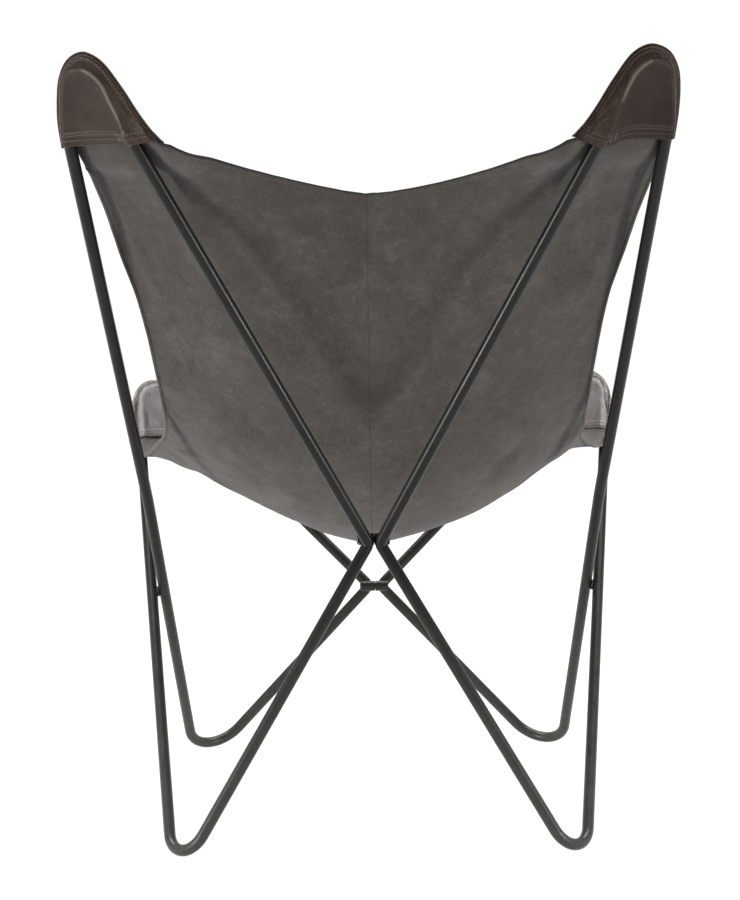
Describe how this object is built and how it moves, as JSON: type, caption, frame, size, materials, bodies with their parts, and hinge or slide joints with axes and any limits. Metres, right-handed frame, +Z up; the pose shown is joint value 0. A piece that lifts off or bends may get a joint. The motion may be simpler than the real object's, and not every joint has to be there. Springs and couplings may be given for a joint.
{
  "type": "butterfly sling chair",
  "caption": "Low lounge chair: two bent round-bar side frames bolted at crossings front and rear, with a canvas sling whose leather corner pockets hang on the frame's upper loops.",
  "frame": {"origin": "on the floor, under the middle of the chair's bounding box", "axes": "+Z up; the sitter faces -Y; +X is the sitter's left"},
  "size_m": [0.6624, 0.7568, 0.9087],
  "materials": {
    "frame_paint": "satin black powder coat on round steel bar",
    "fastener": "blackened steel low-head socket bolt",
    "canvas": "washed heavy cotton canvas, grey-brown, mottled",
    "leather": "dark brown worn leather, soft gloss, stitched hem"
  },
  "bodies": {
    "frame": {"left_side_frame": "frame_paint", "right_side_frame": "frame_paint", "front_left_barrel": "frame_paint", "front_right_barrel": "frame_paint", "rear_left_barrel": "frame_paint", "rear_right_barrel": "frame_paint", "left_side_spacer": "frame_paint", "right_side_spacer": "frame_paint", "canvas_left_panel": "canvas", "canvas_right_panel": "canvas", "left_ear_pocket_back": "leather", "right_ear_pocket_back": "leather", "left_ear_pocket_front": "leather", "right_ear_pocket_front": "leather", "left_knee_pocket_top": "leather", "right_knee_pocket_top": "leather", "left_knee_pocket_under": "leather", "right_knee_pocket_under": "leather"},
    "front_bolt": {"front_cross_bolt": "fastener"},
    "rear_bolt": {"rear_cross_bolt": "fastener"}
  },
  "joints": [
    {"name": "front_bolt_turn", "type": "hinge", "parent": "frame", "child": "front_bolt", "pos_m": [0, -0.27296, 0.21777], "axis": [1, 0, 0], "continuous": true},
    {"name": "rear_bolt_turn", "type": "hinge", "parent": "frame", "child": "rear_bolt", "pos_m": [0, 0.14944, 0.35767], "axis": [1, 0, 0], "continuous": true}
  ]
}
